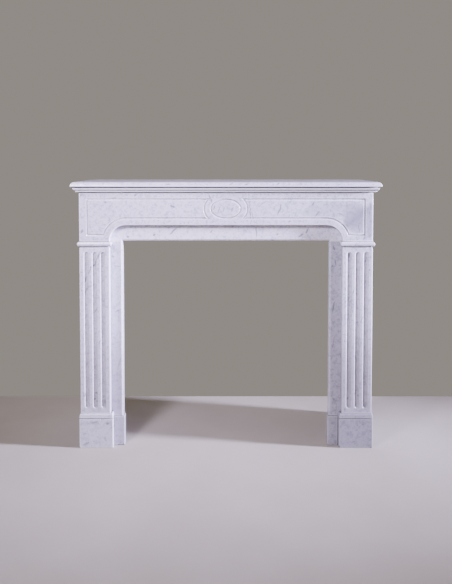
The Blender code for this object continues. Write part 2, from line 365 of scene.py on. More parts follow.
def eased(builder, radius):
    """Round the sharp edges of a block."""
    sharp = [edge for edge in builder.edges if edge.calc_face_angle(0) > EASE_FROM]
    bmesh.ops.bevel(builder, geom=sharp, offset=radius, segments=EASE_STEPS, profile=0.5, affect="EDGES",
                    clamp_overlap=True)
    return builder


# Marble

class Shader:
    """Short way to place and link the nodes of one material."""

    def __init__(self, name):
        self.material = bpy.data.materials.new(name)
        self.material.use_nodes = True
        self.tree = self.material.node_tree
        self.surface = self.tree.nodes["Principled BSDF"]

    def node(self, kind, settings=None, **inputs):
        made = self.tree.nodes.new("ShaderNode" + kind)
        for key, value in (settings or {}).items():
            setattr(made, key, value)
        for key, value in inputs.items():
            self.feed(made, key, value)
        return made

    def feed(self, made, key, value):
        """Link or set one input, by its name or, as in i0, by its number."""
        socket = made.inputs[int(key[1:])] if key[0] == "i" and key[1:].isdigit() else made.inputs[key]
        if isinstance(value, bpy.types.NodeSocket):
            self.tree.links.new(value, socket)
        else:
            socket.default_value = value

    def maths(self, operation, first, second=0.0, clamp=False):
        """One sum of two values, held between 0 and 1 if it is clamped."""
        made = self.node("Math", {"operation": operation, "use_clamp": clamp}, i0=first, i1=second)
        return made.outputs[0]

    def vector(self, operation, first, second):
        made = self.node("VectorMath", {"operation": operation}, i0=first, i1=second)
        return made.outputs["Vector"]

    def scaled(self, place, factor):
        """A vector times a number."""
        made = self.node("VectorMath", {"operation": "SCALE"}, i0=place)
        made.inputs["Scale"].default_value = factor
        return made.outputs["Vector"]

    def noise(self, place, scale, detail=3.0, roughness=0.55):
        made = self.node("TexNoise", None, Vector=place, Scale=scale, Detail=detail, Roughness=roughness)
        return made.outputs["Fac"]

    def ramp(self, value, low, high, to_low=0.0, to_high=1.0):
        """Smooth step from one value at low to another at high."""
        made = self.node("MapRange", {"interpolation_type": "SMOOTHSTEP"}, Value=value)
        for key, number in (("From Min", low), ("From Max", high), ("To Min", to_low), ("To Max", to_high)):
            made.inputs[key].default_value = number
        return made.outputs["Result"]

    def blend(self, factor, first, second):
        """Mix of two colours."""
        made = self.node("Mix", {"data_type": "RGBA"}, Factor=factor)
        self.feed(made, "i6", first)
        self.feed(made, "i7", second)
        return made.outputs[2]


def vein_group():
    """Mask of one vein: a thin sheet between two points of the face, thinning at both ends."""
    tree = bpy.data.node_groups.new("vein_stroke", "ShaderNodeTree")
    face = tree.interface
    for name, kind in (("Place", "Vector"), ("Start", "Vector"), ("Finish", "Vector"), ("Width", "Float"),
                       ("Strength", "Float")):
        face.new_socket(name, in_out="INPUT", socket_type="NodeSocket" + kind)
    face.new_socket("Mask", in_out="OUTPUT", socket_type="NodeSocketFloat")
    given = tree.nodes.new("NodeGroupInput")
    result = tree.nodes.new("NodeGroupOutput")

    def step(kind, operation, *values, output=0):
        made = tree.nodes.new("ShaderNode" + kind)
        made.operation = operation
        for socket, value in zip(made.inputs, values):
            if isinstance(value, bpy.types.NodeSocket):
                tree.links.new(value, socket)
            else:
                socket.default_value = value
        return made.outputs[output]

    run = step("VectorMath", "SUBTRACT", given.outputs["Finish"], given.outputs["Start"])
    reach = step("VectorMath", "SUBTRACT", given.outputs["Place"], given.outputs["Start"])
    along = step("VectorMath", "DOT_PRODUCT", reach, run, output=1)
    length = step("VectorMath", "DOT_PRODUCT", run, run, output=1)
    share = step("Math", "DIVIDE", along, length)
    held = step("Math", "MINIMUM", step("Math", "MAXIMUM", share, 0.0), 1.0)
    scaled = tree.nodes.new("ShaderNodeVectorMath")
    scaled.operation = "SCALE"
    tree.links.new(run, scaled.inputs[0])
    tree.links.new(held, scaled.inputs["Scale"])
    miss = step("VectorMath", "SUBTRACT", reach, scaled.outputs[0])
    away = step("VectorMath", "LENGTH", miss, output=1)
    middle = step("Math", "SUBTRACT", held, 0.5)
    squared = step("Math", "MULTIPLY", middle, middle)
    thinning = step("Math", "SUBTRACT", 1.05, step("Math", "MULTIPLY", squared, 3.4))
    width = step("Math", "MULTIPLY", given.outputs["Width"], thinning)
    near = step("Math", "SUBTRACT", 1.0, step("Math", "DIVIDE", away, width))
    shown = step("Math", "MAXIMUM", near, 0.0)
    tree.links.new(step("Math", "MULTIPLY", shown, given.outputs["Strength"]), result.inputs["Mask"])
    return tree


VEIN = vein_group()
UPRIGHT_PLANE = (1.0, 0.0, 1.0)
NOISE_MIDDLE = (0.5, 0.5, 0.5)

# Colours of the marble
WHITE = (0.805, 0.774, 0.872, 1)
CLOUD = (0.420, 0.415, 0.515, 1)
# Rubbed edges, lightened beyond wear as a painted highlight
WORN_AND_HIGHLIGHT = (1.000, 0.985, 1.000, 1)
VEIN_GREY = (0.200, 0.205, 0.260, 1)
GRAIN_GREY = (0.550, 0.550, 0.580, 1)
# Grime colour, also used for painted shade in crevices, on tops and towards the floor
SOIL_AND_SHADE = (0.200, 0.188, 0.200, 1)

# Strength of veins, of wear with a painted edge highlight, of grime and settled dust with painted shade,
# and of polish. A reach is in metres, and a span is where a ramp starts and ends
STROKE_WIDTH = 1.3
STROKE_STRENGTH = 3.0
WORN_HIGHLIGHT_REACH = 0.007
WORN_HIGHLIGHT_SPAN = (0.66, 0.99)
FLOOR_SHADE_SPAN = (0.26, 0.56)
CREVICE_REACH = 0.006
CREVICE_SOIL_AND_SHADE = 0.9
DUST_AND_TOP_SHADE_SPAN = (0.75, 0.99)
DUST_AND_TOP_SHADE = 0.42
ROUGHNESS_SPAN = (0.13, 0.24)
BUMP_STRENGTH = 0.14
BUMP_DISTANCE = 0.0010
SCATTER = 0.07
SCATTER_RADIUS = (0.004, 0.004, 0.005)


def toned(colour, tone):
    """A colour made greyer or brighter, and no brighter than white."""
    return [min(1.0, value * tone) for value in colour[:3]] + [1]


def cloud_haze(shader, place, drift, warped, clouds):
    """How far soft clouds, mottling and flecks grey the white."""
    cloudy = shader.ramp(shader.noise(warped, 7.0, 5.0, 0.6), 0.42, 0.75, 0.0, 0.34)
    grainy = shader.vector("ADD", place, shader.scaled(drift, 0.12))
    mottled = shader.ramp(shader.noise(grainy, 62.0, 3.0, 0.6), 0.45, 0.71, 0.0, 0.90)
    flecked = shader.ramp(shader.noise(grainy, 140.0, 2.0, 0.6), 0.52, 0.73, 0.0, 1.00)
    haze = shader.maths("ADD", cloudy, shader.maths("ADD", mottled, flecked))
    return shader.maths("MULTIPLY", haze, clouds, True)


def thread_mask(shader, bed, warped, veins):
    """Thin random veins: patchy lines, flecks and slanting dashes."""
    ridge = shader.maths("ABSOLUTE", shader.maths("SUBTRACT", shader.noise(warped, 12.0, 3.0), 0.5))
    line = shader.ramp(ridge, 0.0, 0.020, 1.0, 0.0)
    patches = shader.ramp(shader.noise(bed, 11.0, 2.0), 0.56, 0.70)
    fine = shader.maths("ABSOLUTE", shader.maths("SUBTRACT", shader.noise(warped, 40.0, 3.0, 0.6), 0.5))
    flecks = shader.maths("MULTIPLY", shader.ramp(fine, 0.0, 0.03, 1.0, 0.0),
                          shader.ramp(shader.noise(bed, 24.0, 3.0), 0.57, 0.68))
    slant = shader.node("Mapping", {"vector_type": "TEXTURE"}, Vector=warped, Rotation=(0.0, 0.60, 0.0),
                        Scale=(0.30, 1.0, 1.0)).outputs["Vector"]
    dashes = shader.ramp(shader.noise(slant, 26.0, 3.0, 0.6), 0.66, 0.76, 0.0, 0.55)
    short = shader.maths("MAXIMUM", flecks, dashes)
    threads = shader.maths("MAXIMUM", shader.maths("MULTIPLY", line, patches), short)
    return shader.maths("MULTIPLY", threads, veins)


def add_strokes(shader, place, mask, strokes):
    """The veins that are listed one by one, joined to a mask."""
    wander = shader.node("TexNoise", None, Vector=place, Scale=60.0, Detail=3.0).outputs["Color"]
    wander = shader.scaled(shader.vector("SUBTRACT", wander, NOISE_MIDDLE), 0.012)
    flat = shader.vector("MULTIPLY", shader.vector("ADD", place, wander), UPRIGHT_PLANE)
    for x, z, run_x, run_z, width, strength in strokes:
        stroke = shader.node("Group", {"node_tree": VEIN}, Place=flat)
        stroke.inputs["Start"].default_value = (x, 0, z)
        stroke.inputs["Finish"].default_value = (x + run_x, 0, z + run_z)
        stroke.inputs["Width"].default_value = STROKE_WIDTH * width
        stroke.inputs["Strength"].default_value = min(1.0, STROKE_STRENGTH * strength)
        mask = shader.maths("MAXIMUM", mask, stroke.outputs["Mask"])
    return mask


def wear_dirt_and_painted_light(shader, place, colour, soil, tone, dirt_and_shade, foot):
    """Rubbed edges lightened with a painted highlight, painted shade towards the floor, grime and painted
    shade in crevices, and settled dust with painted shade on what faces up.
    """
    # Painted highlight with wear: convex arrises found by inside occlusion are lightened towards near-white
    edge = shader.node("AmbientOcclusion", {"samples": 4, "inside": True, "only_local": True},
                       Distance=WORN_HIGHLIGHT_REACH)
    worn_and_highlit = shader.ramp(edge.outputs["AO"], *WORN_HIGHLIGHT_SPAN, 1.0, 0.0)
    colour = shader.blend(worn_and_highlit, colour, toned(WORN_AND_HIGHLIGHT, tone))

    # Painted shade: the colour darkens towards the floor, where the light falls off
    height = shader.node("SeparateXYZ", None, Vector=place).outputs["Z"]
    colour = shader.blend(shader.ramp(height, *FLOOR_SHADE_SPAN, foot, 0.0), colour, SOIL_AND_SHADE)

    # Grime and painted shade in crevices, corners and under beads and mouldings, darkened by occlusion
    shelter = shader.node("AmbientOcclusion", {"samples": 6}, Distance=CREVICE_REACH).outputs["AO"]
    crevice_soil_and_shade = shader.ramp(shelter, *dirt_and_shade, CREVICE_SOIL_AND_SHADE, 0.0)
    smudge = shader.ramp(shader.noise(place, 14.0, 4.0), 0.45, 0.8, 0.0, soil)
    # Settled dust with painted shade: faces that look up are darkened
    normal = shader.node("NewGeometry").outputs["Normal"]
    rise = shader.node("SeparateXYZ", None, Vector=normal).outputs["Z"]
    dust_and_top_shade = shader.ramp(rise, *DUST_AND_TOP_SHADE_SPAN, 0.0, DUST_AND_TOP_SHADE)
    soiled_and_shaded = shader.maths("ADD", crevice_soil_and_shade, shader.maths("MAXIMUM", smudge, dust_and_top_shade), True)
    return shader.blend(soiled_and_shaded, colour, SOIL_AND_SHADE)


def marble(name, shift, strokes, clouds, veins, soil, tone, dirt_and_shade, foot=0.0):
    """Smooth Carrara-like marble: cool white, soft grey clouds, thin veins, rubbed edges with a painted
    highlight.

    clouds, veins and soil are strengths; tone below 1 paints shade over the whole piece together with a
    greyer stone, and above 1 paints light; dirt_and_shade is the shelter at which crevices are full and
    free of grime and painted shade;
    foot is how strongly painted shade darkens the stone towards the floor.
    """
    shader = Shader(name)
    place = shader.node("TexCoord").outputs["Object"]
    bed = shader.node("Mapping", {"vector_type": "TEXTURE"}, Vector=place, Location=shift,
                      Rotation=(0.15, 0.55, 0.10), Scale=(1.0, 1.0, 2.2)).outputs["Vector"]
    drift = shader.node("TexNoise", None, Vector=bed, Scale=7.0, Detail=4.0, Roughness=0.6).outputs["Color"]
    drift = shader.scaled(shader.vector("SUBTRACT", drift, NOISE_MIDDLE), 0.09)
    warped = shader.vector("ADD", bed, drift)

    haze = cloud_haze(shader, place, drift, warped, clouds)
    colour = shader.blend(haze, toned(WHITE, tone), toned(CLOUD, tone))
    mask = thread_mask(shader, bed, warped, veins)
    if strokes:
        mask = add_strokes(shader, place, mask, strokes)
    colour = shader.blend(mask, colour, VEIN_GREY)
    grain = shader.ramp(shader.noise(place, 420.0, 2.0), 0.3, 0.7, 0.0, 0.06)
    colour = shader.blend(grain, colour, GRAIN_GREY)
    colour = wear_dirt_and_painted_light(shader, place, colour, soil, tone, dirt_and_shade, foot)

    polish = shader.ramp(shader.noise(place, 26.0, 4.0), 0.3, 0.75, *ROUGHNESS_SPAN)
    relief = shader.maths("ADD", shader.noise(place, 75.0, 3.0),
                          shader.maths("MULTIPLY", shader.noise(place, 900.0, 2.0), 0.18))
    dents = shader.maths("SUBTRACT", relief, shader.maths("MULTIPLY", mask, 0.25))
    bump = shader.node("Bump", None, Height=dents)
    bump.inputs["Strength"].default_value = BUMP_STRENGTH
    bump.inputs["Distance"].default_value = BUMP_DISTANCE

    surface = shader.surface
    shader.feed(surface, "Base Color", colour)
    shader.feed(surface, "Roughness", polish)
    shader.feed(surface, "Normal", bump.outputs["Normal"])
    surface.inputs["Specular IOR Level"].default_value = 0.5
    surface.inputs["Subsurface Weight"].default_value = SCATTER
    surface.inputs["Subsurface Radius"].default_value = SCATTER_RADIUS
    surface.inputs["Subsurface Scale"].default_value = 1.0
    return shader.material


# The marble of each piece, with the veins that show in the photograph: x, z, run x, run z, width, strength

SHELF_VEINS = (
    (-0.245, 1.090, 0.020, 0.004, 0.0035, 0.5), (0.015, 1.092, 0.012, 0.006, 0.003, 0.4),
    (0.075, 1.089, 0.016, 0.008, 0.003, 0.45), (0.205, 1.090, 0.012, 0.008, 0.003, 0.4),
)
FRIEZE_VEINS = (
    (0.092, 1.056, 0.011, -0.130, 0.0022, 0.75), (0.105, 0.985, 0.006, -0.040, 0.002, 0.4),
    (-0.071, 1.056, 0.013, -0.042, 0.0028, 0.7), (0.212, 0.966, 0.014, 0.046, 0.004, 0.42),
    (0.362, 0.958, 0.020, 0.024, 0.0045, 0.5), (0.350, 1.004, 0.010, 0.016, 0.004, 0.35),
    (0.456, 0.976, 0.030, -0.012, 0.003, 0.45), (0.541, 0.932, 0.004, -0.036, 0.004, 0.6),
    (0.478, 0.990, 0.046, -0.032, 0.003, 0.25), (-0.228, 1.006, 0.020, -0.006, 0.006, 0.35),
    (-0.460, 1.034, 0.012, 0.006, 0.004, 0.45), (-0.376, 1.044, 0.012, 0.010, 0.004, 0.45),
    (-0.592, 0.893, 0.006, 0.014, 0.004, 0.45), (-0.215, 0.921, 0.006, 0.006, 0.004, 0.6),
    (0.382, 0.922, 0.004, 0.008, 0.004, 0.6), (-0.052, 0.984, 0.005, 0.026, 0.0022, 0.4),
    (-0.032, 0.976, 0.008, 0.030, 0.0022, 0.38), (-0.012, 0.978, 0.008, 0.022, 0.002, 0.36),
    (0.020, 0.980, 0.010, 0.020, 0.002, 0.3), (-0.498, 1.014, 0.012, 0.006, 0.004, 0.3),
    (0.252, 0.936, 0.012, 0.008, 0.004, 0.3), (0.560, 0.862, 0.016, 0.030, 0.003, 0.3),
    (0.586, 0.960, 0.006, 0.060, 0.004, 0.28), (0.130, 1.000, 0.040, 0.030, 0.003, 0.2),
    (0.490, 0.920, 0.090, 0.070, 0.080, 0.26), (0.588, 0.880, 0.004, 0.130, 0.040, 0.18),
    (0.320, 0.975, 0.180, 0.030, 0.055, 0.10),
)
LINTEL_VEINS = (
    (0.124, 0.916, 0.003, -0.044, 0.003, 0.62), (-0.233, 0.884, 0.026, 0.026, 0.0045, 0.65),
    (-0.304, 0.878, 0.012, 0.006, 0.005, 0.5), (-0.066, 0.890, 0.010, 0.012, 0.003, 0.4),
    (0.300, 0.872, 0.022, 0.016, 0.004, 0.5), (0.330, 0.890, 0.012, 0.020, 0.004, 0.35),
    (0.208, 0.884, 0.010, 0.004, 0.003, 0.35), (-0.410, 0.872, 0.008, 0.004, 0.005, 0.4),
)
LEFT_JAMB_VEINS = (
    (-0.515, 0.812, -0.020, -0.034, 0.0042, 0.85), (-0.533, 0.778, -0.010, -0.022, 0.0034, 0.6),
    (-0.540, 0.764, -0.006, -0.010, 0.0050, 0.95), (-0.554, 0.756, -0.003, -0.008, 0.0048, 1.0),
    (-0.555, 0.745, -0.012, -0.022, 0.003, 0.55), (-0.572, 0.715, -0.010, -0.030, 0.003, 0.35),
    (-0.582, 0.640, 0.012, 0.026, 0.0025, 0.35), (-0.545, 0.560, 0.018, 0.030, 0.0028, 0.3),
    (-0.530, 0.430, 0.016, 0.024, 0.0028, 0.3), (-0.545, 0.226, 0.014, 0.004, 0.0042, 0.6),
    (-0.552, 0.196, 0.010, 0.008, 0.004, 0.6), (-0.538, 0.192, 0.010, 0.002, 0.004, 0.6),
    (-0.502, 0.200, 0.002, -0.020, 0.006, 0.6), (-0.588, 0.214, 0.006, 0.010, 0.005, 0.4),
)
RIGHT_JAMB_VEINS = (
    (0.505, 0.790, 0.004, 0.018, 0.004, 0.45), (0.570, 0.768, 0.004, 0.014, 0.004, 0.45),
    (0.586, 0.738, 0.006, 0.006, 0.005, 0.4), (0.531, 0.220, 0.004, 0.010, 0.0055, 0.8),
    (0.545, 0.215, 0.006, 0.006, 0.004, 0.55), (0.500, 0.200, 0.006, 0.006, 0.0045, 0.55),
    (0.492, 0.156, 0.001, 0.012, 0.004, 0.85), (0.518, 0.640, 0.018, 0.036, 0.0026, 0.3),
    (0.552, 0.520, 0.020, 0.040, 0.0026, 0.3), (0.540, 0.360, -0.012, 0.034, 0.0026, 0.25),
    (0.588, 0.840, 0.004, -0.012, 0.004, 0.35),
)
LEFT_SLIP_VEINS = (
    (-0.465, 0.752, 0.034, 0.000, 0.0018, 0.6), (-0.462, 0.560, 0.026, 0.014, 0.0024, 0.3),
    (-0.470, 0.797, 0.006, -0.010, 0.005, 0.4), (-0.450, 0.330, 0.012, 0.040, 0.0024, 0.25),
)
RIGHT_SLIP_VEINS = (
    (0.444, 0.834, 0.006, -0.014, 0.006, 0.75), (0.450, 0.780, 0.008, -0.024, 0.0035, 0.55),
    (0.438, 0.748, 0.006, 0.008, 0.005, 0.5), (0.442, 0.560, 0.010, 0.050, 0.003, 0.3),
    (0.452, 0.190, -0.006, 0.010, 0.006, 0.4), (0.440, 0.400, 0.012, 0.060, 0.003, 0.25),
)
LEFT_PLINTH_VEINS = (
    (-0.556, 0.104, 0.024, 0.006, 0.0060, 0.26), (-0.494, 0.098, 0.010, 0.008, 0.0065, 0.31),
    (-0.480, 0.086, 0.020, 0.002, 0.0055, 0.28), (-0.502, 0.050, 0.002, -0.018, 0.0045, 0.19),
    (-0.592, 0.012, 0.028, 0.012, 0.0065, 0.28), (-0.590, 0.058, 0.014, 0.006, 0.006, 0.17),
)
RIGHT_PLINTH_VEINS = (
    (0.548, 0.084, 0.008, 0.008, 0.0060, 0.25), (0.534, 0.040, 0.018, 0.010, 0.0070, 0.20),
    (0.560, 0.056, 0.020, 0.010, 0.0055, 0.20), (0.597, 0.066, 0.006, 0.010, 0.0060, 0.50),
    (0.590, 0.030, 0.014, 0.008, 0.006, 0.31), (0.500, 0.054, 0.022, 0.014, 0.006, 0.14),
    (0.478, 0.104, 0.012, 0.010, 0.005, 0.19), (0.575, 0.112, 0.022, -0.006, 0.005, 0.19),
)

SHELF_MARBLE = marble("shelf_marble_look", (0.31, 0.12, 0.57), SHELF_VEINS,
                      clouds=0.65, veins=0.60, soil=0.04, tone=1.0, dirt_and_shade=(0.42, 0.92))
FRIEZE_MARBLE = marble("frieze_marble_look", (1.7, 0.4, 2.9), FRIEZE_VEINS,
                       clouds=0.72, veins=0.60, soil=0.05, tone=1.0, dirt_and_shade=(0.30, 0.78))
# The lintel's tone above 1 paints light: it is made brighter than the white stone
LINTEL_MARBLE = marble("lintel_marble_look", (4.1, 2.2, 0.8), LINTEL_VEINS,
                       clouds=0.60, veins=0.60, soil=0.05, tone=1.17, dirt_and_shade=(0.25, 0.62))
# The right jamb's lower tone paints shade, and foot paints shade towards the floor on both jambs
JAMB_MARBLES = {
    -1: marble("left_jamb_marble_look", (6.3, 1.1, 3.7), LEFT_JAMB_VEINS,
               clouds=0.65, veins=0.60, soil=0.06, tone=1.0, dirt_and_shade=(0.46, 0.92), foot=0.22),
    1: marble("right_jamb_marble_look", (8.2, 5.1, 1.3), RIGHT_JAMB_VEINS,
              clouds=0.70, veins=0.60, soil=0.08, tone=0.94, dirt_and_shade=(0.46, 0.92), foot=0.48),
}
# The slips' lower tones paint shade over them, and foot paints shade towards the floor
SLIP_MARBLES = {
    -1: marble("left_slip_marble_look", (3.3, 7.7, 5.2), LEFT_SLIP_VEINS,
               clouds=0.60, veins=0.50, soil=0.05, tone=0.84, dirt_and_shade=(0.35, 0.80), foot=0.42),
    1: marble("right_slip_marble_look", (9.1, 3.6, 7.4), RIGHT_SLIP_VEINS,
              clouds=0.70, veins=0.55, soil=0.08, tone=0.77, dirt_and_shade=(0.30, 0.70), foot=0.25),
}
# The plinths' lower tones paint shade, deepest on the right plinth, together with a greyer, soiled stone
PLINTH_MARBLES = {
    -1: marble("left_plinth_marble_look", (2.8, 9.3, 6.1), LEFT_PLINTH_VEINS,
               clouds=0.60, veins=0.55, soil=0.08, tone=0.82, dirt_and_shade=(0.38, 0.84)),
    1: marble("right_plinth_marble_look", (7.9, 8.4, 9.6), RIGHT_PLINTH_VEINS,
              clouds=0.60, veins=0.55, soil=0.10, tone=0.42, dirt_and_shade=(0.38, 0.84)),
}
# The small plinths' lower tones paint shade over them
SLIP_PLINTH_MARBLES = {
    -1: marble("left_slip_plinth_marble_look", (5.7, 6.6, 2.4), (),
               clouds=0.60, veins=0.50, soil=0.10, tone=0.56, dirt_and_shade=(0.38, 0.84)),
    1: marble("right_slip_plinth_marble_look", (1.9, 8.2, 4.3), (),
              clouds=0.60, veins=0.50, soil=0.10, tone=0.53, dirt_and_shade=(0.38, 0.84)),
}


# Pieces

def shelf_section():
    """Shelf edge from its underside up: fillet, torus, ovolo, quirk and rounded nose."""
    torus_foot = SHELF_LOW.z + FILLET_HEIGHT
    ovolo_foot = torus_foot + TORUS_HEIGHT
    quirk_foot = ovolo_foot + OVOLO_HEIGHT
    nose_foot = quirk_foot + QUIRK_HEIGHT
    quirk_out = OVOLO_PROJECTION - QUIRK_DEPTH
    half = TORUS_HEIGHT / 2
    line = [(FILLET_PROJECTION, SHELF_LOW.z), (FILLET_PROJECTION, torus_foot)]
    line += arc((TORUS_PROJECTION - half, torus_foot + half), (half, half), -90, 60)
    line += [(TORUS_PROJECTION - QUIRK_DEPTH, ovolo_foot)]
    ovolo_out = OVOLO_PROJECTION - TORUS_PROJECTION
    line += arc((TORUS_PROJECTION, quirk_foot), (ovolo_out, OVOLO_HEIGHT), -90, -12)
    line += [(quirk_out, quirk_foot), (quirk_out, nose_foot), (SHELF_OVERHANG, nose_foot)]
    nose_radii = (NOSE_ROUND, NOSE_HEIGHT - NOSE_LIP)
    line += arc((SHELF_OVERHANG - NOSE_ROUND, nose_foot + NOSE_LIP), nose_radii, 0, 90)
    return soften(line, FINE_ARRIS)


def build_shelf():
    """Moulded slab on top."""
    shell = moulded_shell((-OUTER_X, OUTER_X), FACE_Y, WALL_Y, shelf_section(), (1, 1, 1), SOFT_ARRIS)
    settle("shelf_carved", shell, "shelf", SHELF_MARBLE)


def frieze_outline():
    """Closed outline of the frieze, anticlockwise as seen from the room."""
    foot, top = FRIEZE_LOW.z, FRIEZE_HIGH.z
    line = [(-OUTER_X, top), (-OUTER_X, foot)]
    line += arc((ARCH_RADIUS - INNER_X, foot), (ARCH_RADIUS, ARCH_RADIUS), 180, 90, ARCH_STEPS)
    line += arc((INNER_X - ARCH_RADIUS, foot), (ARCH_RADIUS, ARCH_RADIUS), 90, 0, ARCH_STEPS)
    line += [(OUTER_X, foot), (OUTER_X, top)]
    return line


def panel_levels():
    """Heights of a panel's top line, of the line over the underside and of its outer foot."""
    top = FRIEZE_HIGH.z - PANEL_TOP_MARGIN
    sill = FRIEZE_LOW.z + ARCH_RADIUS + PANEL_ARCH_MARGIN
    return top, sill, FRIEZE_LOW.z + PANEL_FOOT_MARGIN


def panel_path(side):
    """Closed centre line of one panel's groove: it bends around the oval and the arch's corner."""
    top, sill, foot = panel_levels()
    middle = (top + sill) / 2
    half_width = OVAL_HALF_WIDTH + OVAL_GAP
    half_height = OVAL_HALF_HEIGHT + OVAL_GAP
    turn = math.degrees(math.asin((top - sill) / 2 / half_height))
    line = arc((0, middle), (half_width, half_height), -turn, turn, ARCH_STEPS)
    line += [(OUTER_X - PANEL_SIDE_MARGIN, top), (OUTER_X - PANEL_SIDE_MARGIN, foot)]
    radius = ARCH_RADIUS + PANEL_ARCH_MARGIN
    start = math.degrees(math.asin(PANEL_FOOT_MARGIN / radius))
    line += arc((INNER_X - ARCH_RADIUS, FRIEZE_LOW.z), (radius, radius), start, 90, ARCH_STEPS)
    if side < 0:
        line = [(-x, z) for x, z in reversed(line)]
    return line


def oval_path():
    """Closed centre line of the oval's groove."""
    top, sill, _ = panel_levels()
    return arc((0, (top + sill) / 2), (OVAL_HALF_WIDTH, OVAL_HALF_HEIGHT), 360, 0, OVAL_STEPS)[:-1]


def sink_groove(builder, path):
    """Groove along a closed path. Gives back its outer and its inner lip."""
    rings = []
    for across, depth in hollow_section(GROOVE_WIDTH / 2, GROOVE_DEPTH, GROOVE_STEPS, GROOVE_LIP_SHARE):
        line = offset_loop(path, across)
        rings.append(ring_of(builder, [(x, FACE_Y + depth, z) for x, z in line]))
    for first, second in zip(rings, rings[1:]):
        join_rings(builder, first, second)
    spans = [max(v.co.x for v in ring) - min(v.co.x for v in ring) for ring in (rings[0], rings[-1])]
    return (rings[0], rings[-1]) if spans[0] > spans[1] else (rings[-1], rings[0])


def build_frieze():
    """Front slab with two grooved panels and an oval, and an eased edge round its outline."""
    builder = bmesh.new()
    outline = frieze_outline()
    rings = []
    for inset, depth in arc((SOFT_ARRIS, SOFT_ARRIS), (SOFT_ARRIS, SOFT_ARRIS), 270, 180, CORNER_STEPS):
        line = offset_loop(outline, inset)
        rings.append(ring_of(builder, [(x, FACE_Y + depth, z) for x, z in line]))
    rings.append(ring_of(builder, [(x, SLAB_BACK_Y, z) for x, z in outline]))
    for first, second in zip(rings, rings[1:]):
        join_rings(builder, first, second)
    holes = []
    for path in (panel_path(-1), panel_path(1), oval_path()):
        outer, inner = sink_groove(builder, path)
        holes.append(outer)
        fill_flat(builder, [inner])
    fill_flat(builder, [rings[0]] + holes)
    fill_flat(builder, [rings[-1]])
    settle("frieze_carved", builder, "frieze", FRIEZE_MARBLE)


def jamb_section():
    """Side of a jamb from its foot up, with a shallow quirk and the half-round bead under its top."""
    bead_top = JAMB_HIGH.z - BEAD_LIP
    bead_foot = bead_top - BEAD_HEIGHT
    quirk_foot = bead_foot - BEAD_QUIRK_HEIGHT
    half = BEAD_HEIGHT / 2
    line = [(-FINE_ARRIS, JAMB_LOW.z), (0, JAMB_LOW.z + FINE_ARRIS), (0, quirk_foot)]
    line += [(-BEAD_QUIRK_DEPTH, quirk_foot + BEAD_QUIRK_DEPTH), (-BEAD_QUIRK_DEPTH, bead_foot)]
    line += arc((0, bead_top - half), (BEAD_PROJECTION, half), -90, 90)
    line += [(0, JAMB_HIGH.z)]
    return soften(line, FINE_ARRIS / 2)


def build_jamb(side, word):
    """Fluted front of one jamb and its plain return."""
    x_span = tuple(sorted((side * INNER_X, side * OUTER_X)))
    z_low = PLINTH_HIGH.z + FLUTE_FOOT_MARGIN
    z_high = JAMB_HIGH.z - FLUTE_TOP_MARGIN
    middle = side * (INNER_X + OUTER_X) / 2
    first = (1 - FLUTE_COUNT) / 2
    centres = [middle + (first + index) * FLUTE_PITCH for index in range(FLUTE_COUNT)]
    flutes = [flute_rings(centre, z_low, z_high) for centre in centres]
    shell = moulded_shell(x_span, FACE_Y, SLAB_BACK_Y, jamb_section(), (1, 1, 1), SOFT_ARRIS, flutes)
    settle("jamb_front_carved_" + word, shell, "jamb_front_" + word, JAMB_MARBLES[side])
    faces = (1, 0, 0) if side < 0 else (0, 0, 1)
    x_span = tuple(sorted((side * RETURN_INNER_X, side * OUTER_X)))
    shell = moulded_shell(x_span, RETURN_FRONT_Y, WALL_Y, jamb_section(), faces, FINE_ARRIS)
    settle("jamb_return_carved_" + word, shell, "jamb_return_" + word, JAMB_MARBLES[side])


def plinth_section():
    """Side of a plinth from the floor up: plain block, quirk and an ovolo on top."""
    ovolo_foot = PLINTH_HIGH.z - PLINTH_OVOLO_HEIGHT
    quirk_foot = ovolo_foot - PLINTH_QUIRK_HEIGHT
    inset = PLINTH_PROJECTION - PLINTH_QUIRK_DEPTH
    line = [(PLINTH_PROJECTION - FINE_ARRIS, 0), (PLINTH_PROJECTION, FINE_ARRIS)]
    line += [(PLINTH_PROJECTION, quirk_foot), (inset, quirk_foot), (inset, ovolo_foot)]
    line += arc((0, ovolo_foot), (PLINTH_PROJECTION, PLINTH_OVOLO_HEIGHT), 0, 90)
    return soften(line, FINE_ARRIS)


# Chips off the plinths, each as its place, its size and a seed for its lumps
PLINTH_FACE_Y = FACE_Y - PLINTH_PROJECTION
PLINTH_ARRIS_Z = PLINTH_HIGH.z - PLINTH_OVOLO_HEIGHT - PLINTH_QUIRK_HEIGHT
PLINTH_CHIPS = {
    -1: (((-OUTER_X - PLINTH_PROJECTION, PLINTH_FACE_Y, 0.0), (0.004, 0.005, 0.008), 2),
         ((-0.525, PLINTH_FACE_Y, PLINTH_ARRIS_Z), (0.0035, 0.0030, 0.0045), 5),
         ((-0.516, PLINTH_FACE_Y, PLINTH_ARRIS_Z), (0.0045, 0.0025, 0.0060), 6),
         ((-0.507, PLINTH_FACE_Y, PLINTH_ARRIS_Z), (0.0035, 0.0030, 0.0035), 7)),
    1: (((PLINTH_LOW.x, PLINTH_FACE_Y, 0.0), (0.0065, 0.008, 0.012), 4),
        ((0.598, PLINTH_FACE_Y, 0.002), (0.0050, 0.0025, 0.0035), 8)),
}
SLIP_PLINTH_FACE_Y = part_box("slip_plinth_left")[0].y
